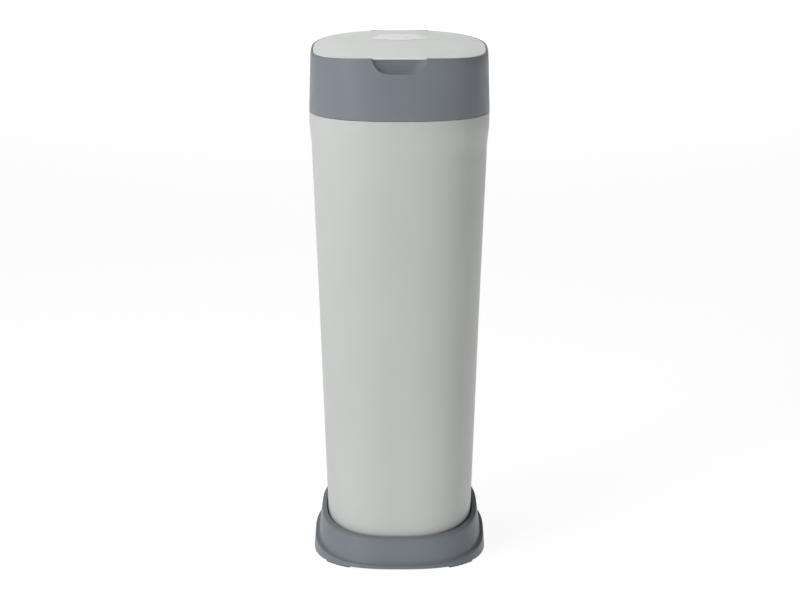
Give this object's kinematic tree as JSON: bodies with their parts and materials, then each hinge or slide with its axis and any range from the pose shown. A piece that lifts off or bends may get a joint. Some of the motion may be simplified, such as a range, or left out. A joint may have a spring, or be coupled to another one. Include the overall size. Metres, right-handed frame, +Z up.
{
  "type": "nappy bin",
  "caption": "Tall tapered nappy bin: tub in a slanted foot ring, grey head with a crowned hinged lid, film cassette and sprung flaps inside.",
  "frame": {"origin": "on the floor under the centre of the bin's plan", "axes": "+Z up, front with the finger scoop at -Y, +X to the right seen from the front"},
  "size_m": [0.2228, 0.2228, 0.6494],
  "materials": {
    "tub_plastic": "satin moulded, pale warm grey",
    "lid_plastic": "satin moulded, pale grey",
    "slate_plastic": "satin moulded, slate grey",
    "liner_plastic": "satin moulded, slate grey",
    "dark_plastic": "fine texture, dark grey",
    "inner_plastic": "satin moulded, white",
    "cover_plastic": "smooth, white",
    "clamp_plastic": "satin moulded, white",
    "film": "thin plastic film, pale blue",
    "foot_rubber": "matt, grey",
    "seal_rubber": "matt, grey",
    "steel": "bright zinc-plated",
    "emblem_film": "printed off-white patch"
  },
  "bodies": {
    "base": {"base_shell": "slate_plastic", "base_plate": "dark_plastic", "foot_front_left": "foot_rubber", "foot_front_right": "foot_rubber", "foot_rear_left": "foot_rubber", "foot_rear_right": "foot_rubber", "base_screw_front_left": "steel", "base_screw_front_right": "steel", "base_screw_rear_left": "steel", "base_screw_rear_right": "steel"},
    "tub": {"tub": "tub_plastic", "head_shell": "slate_plastic", "carrier": "inner_plastic", "cassette_body": "inner_plastic", "cassette_cover": "cover_plastic", "film_pack": "film", "film_sleeve": "film", "clamp_frame": "clamp_plastic", "flap_pin_front": "steel", "flap_pin_rear": "steel", "flap_spring_front": "steel", "flap_spring_rear": "steel", "film_cutter": "slate_plastic", "cutter_blade": "steel", "lid_hinge_pin": "steel", "head_screw_front_left": "steel", "head_screw_front_right": "steel", "head_screw_rear_left": "steel", "head_screw_rear_right": "steel"},
    "lid": {"lid_panel": "lid_plastic", "lid_liner": "liner_plastic", "lid_seal": "seal_rubber", "lid_emblem": "emblem_film"},
    "flap_front": {"flap_front": "clamp_plastic"},
    "flap_rear": {"flap_rear": "clamp_plastic"}
  },
  "joints": [
    {"name": "tub_lift", "type": "slide", "parent": "base", "child": "tub", "axis": [0, 0, 1], "range_m": [0, 0.12]},
    {"name": "lid_hinge", "type": "hinge", "parent": "tub", "child": "lid", "pos_m": [0, 0.1073, 0.64529], "axis": [-1, 0, 0], "range_deg": [0, 100]},
    {"name": "flap_front_hinge", "type": "hinge", "parent": "tub", "child": "flap_front", "pos_m": [0, -0.044, 0.5534], "axis": [-1, 0, 0], "range_deg": [0, 70], "stiffness_Nm_per_rad": 0.08, "springref_deg": -34.38},
    {"name": "flap_rear_hinge", "type": "hinge", "parent": "tub", "child": "flap_rear", "pos_m": [0, 0.044, 0.5534], "axis": [1, 0, 0], "range_deg": [0, 70], "stiffness_Nm_per_rad": 0.08, "springref_deg": -34.38}
  ]
}
